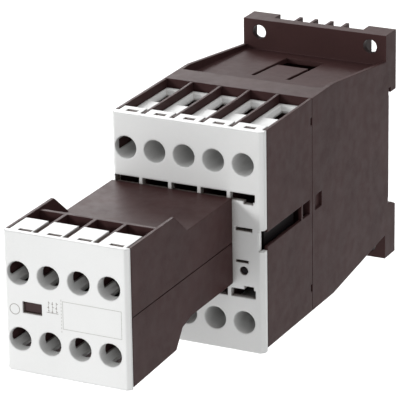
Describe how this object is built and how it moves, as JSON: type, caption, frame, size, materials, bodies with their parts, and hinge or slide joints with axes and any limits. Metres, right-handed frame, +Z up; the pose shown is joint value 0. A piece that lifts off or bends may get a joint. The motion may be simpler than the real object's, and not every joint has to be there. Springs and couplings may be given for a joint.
{
  "type": "din rail contactor",
  "caption": "Rail-mounted contactor with a sliding contact carrier, magnet, deep-set terminal screws and a clip-on auxiliary contact block on its face.",
  "frame": {"origin": "middle of the flat seat that rests against the rail's front face", "axes": "+Y from the face of the device to the panel behind it, +X to the right seen from the front, +Z up"},
  "size_m": [0.045, 0.15, 0.0708],
  "materials": {
    "housing_plastic": "fine moulded grain, dark brown",
    "cover_plastic": "satin moulded, light grey",
    "carrier_plastic": "satin moulded, near black",
    "slider_plastic": "satin moulded, dark brown",
    "bobbin_plastic": "satin moulded, cream",
    "copper_winding": "enamelled copper wire",
    "core_steel": "ground faces, laminated",
    "screw_steel": "zinc plated",
    "contact_brass": "stamped strip",
    "spring_steel": "drawn wire"
  },
  "bodies": {
    "body": {"base_housing": "housing_plastic", "arc_housing": "housing_plastic", "front_cover": "cover_plastic", "magnet_core": "core_steel", "coil_bobbin": "bobbin_plastic", "coil_winding": "copper_winding", "coil_terminal_upper": "contact_brass", "coil_terminal_lower": "contact_brass", "line_contact_1": "contact_brass", "line_contact_2": "contact_brass", "line_contact_3": "contact_brass", "line_contact_4": "contact_brass", "load_contact_1": "contact_brass", "load_contact_2": "contact_brass", "load_contact_3": "contact_brass", "load_contact_4": "contact_brass", "upper_screw_1": "screw_steel", "upper_screw_2": "screw_steel", "upper_screw_3": "screw_steel", "upper_screw_4": "screw_steel", "upper_screw_5": "screw_steel", "lower_screw_1": "screw_steel", "lower_screw_2": "screw_steel", "lower_screw_3": "screw_steel", "lower_screw_4": "screw_steel", "lower_screw_5": "screw_steel", "return_spring_upper": "spring_steel", "return_spring_lower": "spring_steel", "rail_latch_spring": "spring_steel", "aux_housing_upper": "housing_plastic", "aux_housing_lower": "housing_plastic", "aux_front_cover": "cover_plastic", "aux_upper_screw_1": "screw_steel", "aux_upper_screw_2": "screw_steel", "aux_upper_screw_3": "screw_steel", "aux_upper_screw_4": "screw_steel", "aux_lower_screw_1": "screw_steel", "aux_lower_screw_2": "screw_steel", "aux_lower_screw_3": "screw_steel", "aux_lower_screw_4": "screw_steel", "aux_upper_contact_1": "contact_brass", "aux_upper_contact_2": "contact_brass", "aux_upper_contact_3": "contact_brass", "aux_upper_contact_4": "contact_brass", "aux_lower_contact_1": "contact_brass", "aux_lower_contact_2": "contact_brass", "aux_lower_contact_3": "contact_brass", "aux_lower_contact_4": "contact_brass"},
    "carrier": {"contact_carrier": "carrier_plastic", "armature": "core_steel"},
    "bridges": {"contact_bridge_1": "contact_brass", "contact_bridge_2": "contact_brass", "contact_bridge_3": "contact_brass", "contact_bridge_4": "contact_brass"},
    "aux_carriage": {"aux_slider": "slider_plastic", "aux_bridge_1": "contact_brass", "aux_bridge_2": "contact_brass", "aux_bridge_3": "contact_brass", "aux_bridge_4": "contact_brass"},
    "latch": {"rail_latch": "slider_plastic"}
  },
  "joints": [
    {"name": "pull_in", "type": "slide", "parent": "body", "child": "carrier", "axis": [0, 1, 0], "range_m": [0, 0.0045], "stiffness_N_per_m": 700, "springref_m": -0.005, "deforming": ["return_spring_upper", "return_spring_lower"]},
    {"name": "bridge_follow", "type": "slide", "parent": "carrier", "child": "bridges", "axis": [0, 1, 0], "range_m": [-0.0018, 0]},
    {"name": "aux_slide", "type": "slide", "parent": "body", "child": "aux_carriage", "axis": [0, 1, 0], "range_m": [0, 0.0045]},
    {"name": "latch_release", "type": "slide", "parent": "body", "child": "latch", "axis": [0, 0, -1], "range_m": [0, 0.0025], "stiffness_N_per_m": 800, "springref_m": -0.002, "deforming": ["rail_latch_spring"]}
  ],
  "couplings": [
    {"joint": "bridge_follow", "follows": "pull_in", "ratio": -0.4},
    {"joint": "aux_slide", "follows": "pull_in", "ratio": 1}
  ]
}
